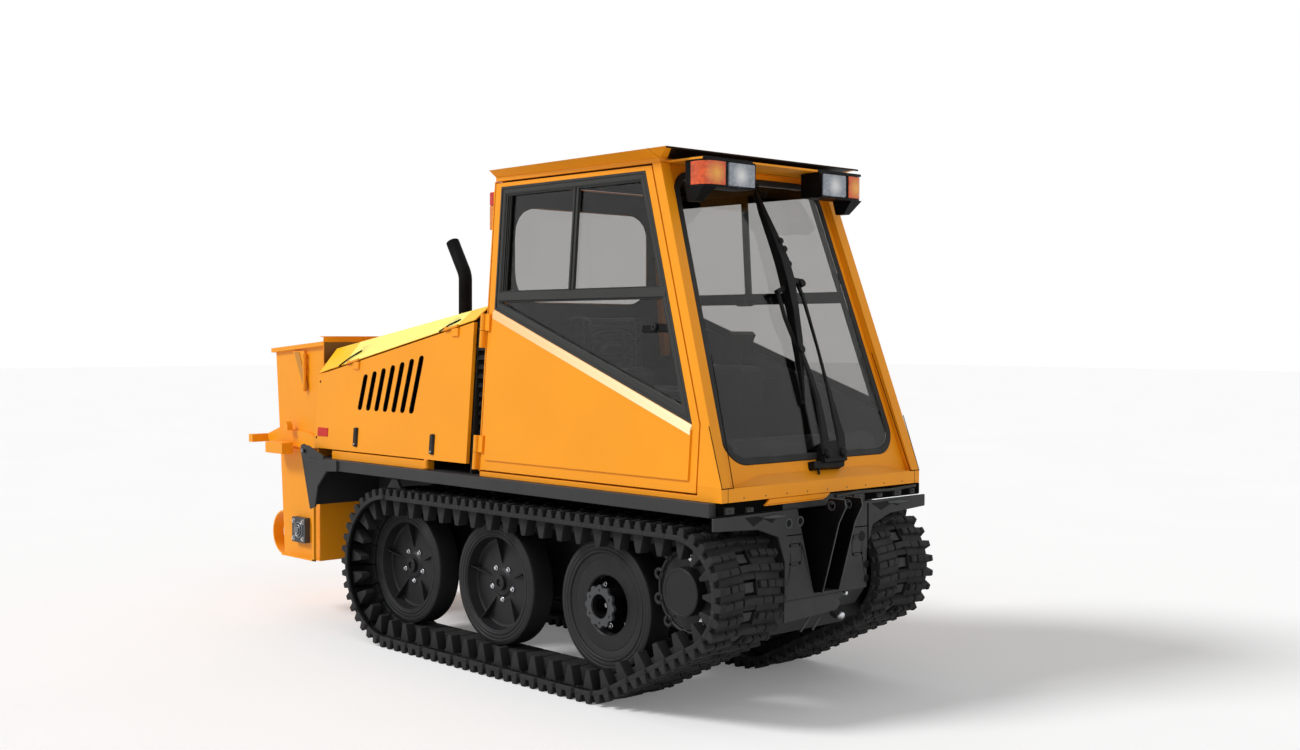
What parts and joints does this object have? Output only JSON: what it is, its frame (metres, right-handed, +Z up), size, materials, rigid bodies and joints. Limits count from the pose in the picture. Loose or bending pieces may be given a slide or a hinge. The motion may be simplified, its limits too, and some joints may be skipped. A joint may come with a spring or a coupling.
{
  "type": "tracked snow plough carrier with rear spreader",
  "caption": "Compact tracked snow plough carrier with a one-seat glazed cab, sloping rear engine hood, front blade hitch and a drop spreader hopper behind.",
  "frame": {"origin": "on the ground at the middle of the whole machine's length and width", "axes": "+X forward along the machine, +Y to its left, +Z up"},
  "size_m": [3.658, 1.308, 2.195],
  "materials": {
    "body_paint": "satin",
    "frame_black": "matte",
    "lamp_housing": "gloss",
    "glass": "clear",
    "seat_vinyl": "matte",
    "engine_iron": "matte",
    "exhaust_steel": "matte",
    "track_rubber": "matte",
    "chassis_grey": "satin",
    "running_gear": "matte",
    "bare_steel": "satin"
  },
  "bodies": {
    "chassis": {"axles": "running_gear", "bumper_bar": "body_paint", "cab_base": "body_paint", "cab_rear_wall": "body_paint", "consoles": "frame_black", "control_lever": "frame_black", "deck": "chassis_grey", "door_hinges": "body_paint", "eave_frame": "body_paint", "engine": "engine_iron", "engine_bulkhead": "body_paint", "exhaust": "exhaust_steel", "final_drive_left": "running_gear", "final_drive_right": "running_gear", "flange_bearings": "bare_steel", "front_pillar_left": "body_paint", "front_pillar_right": "body_paint", "front_plate": "chassis_grey", "hitch_hooks": "chassis_grey", "hood_rails": "body_paint", "hood_rear_wall": "body_paint", "hood_top": "body_paint", "hopper": "body_paint", "hopper_front_board": "body_paint", "hull": "chassis_grey", "rear_brackets": "chassis_grey", "rear_glass": "glass", "rear_hoops": "body_paint", "rear_posts": "body_paint", "roof": "body_paint", "seat": "seat_vinyl", "seat_base": "frame_black", "spreader_arms": "body_paint", "spreader_pins": "bare_steel", "sprocket_left": "running_gear", "sprocket_right": "running_gear", "tail_lamps": "lamp_housing", "track_left": "track_rubber", "track_right": "track_rubber", "wheel_front_left": "running_gear", "wheel_front_right": "running_gear", "wheel_middle_left": "running_gear", "wheel_middle_right": "running_gear", "wheel_rear_left": "running_gear", "wheel_rear_right": "running_gear", "windshield": "glass", "windshield_gasket": "frame_black", "windshield_panel": "body_paint", "work_light_left": "lamp_housing", "work_light_right": "lamp_housing"},
    "door_left": {"door_left": "body_paint", "window_frame_left": "frame_black", "door_glass_left": "glass"},
    "door_right": {"door_right": "body_paint", "window_frame_right": "frame_black", "door_glass_right": "glass"},
    "hood_panel_left": {"hood_panel_left": "body_paint"},
    "hood_panel_right": {"hood_panel_right": "body_paint"},
    "spreader_roller": {"spreader_roller": "bare_steel"}
  },
  "joints": [
    {"name": "door_left_hinge", "type": "hinge", "parent": "chassis", "child": "door_left", "pos_m": [0.209, 0.61297, 0.91194], "axis": [0, -0.0724, 0.9974], "range_deg": [0, 85]},
    {"name": "door_right_hinge", "type": "hinge", "parent": "chassis", "child": "door_right", "pos_m": [0.209, -0.61297, 0.91194], "axis": [0, -0.0724, -0.9974], "range_deg": [0, 85]},
    {"name": "hood_panel_left_hinge", "type": "hinge", "parent": "chassis", "child": "hood_panel_left", "pos_m": [-0.832, 0.57664, 1.34322], "axis": [0.9798, -0.0145, 0.1996], "range_deg": [0, 75]},
    {"name": "hood_panel_right_hinge", "type": "hinge", "parent": "chassis", "child": "hood_panel_right", "pos_m": [-0.832, -0.57664, 1.34322], "axis": [-0.9798, -0.0145, -0.1996], "range_deg": [0, 75]},
    {"name": "spreader_roller_shaft", "type": "hinge", "parent": "chassis", "child": "spreader_roller", "pos_m": [-1.434, 0, 0.454], "axis": [0, 1, 0], "continuous": true}
  ]
}
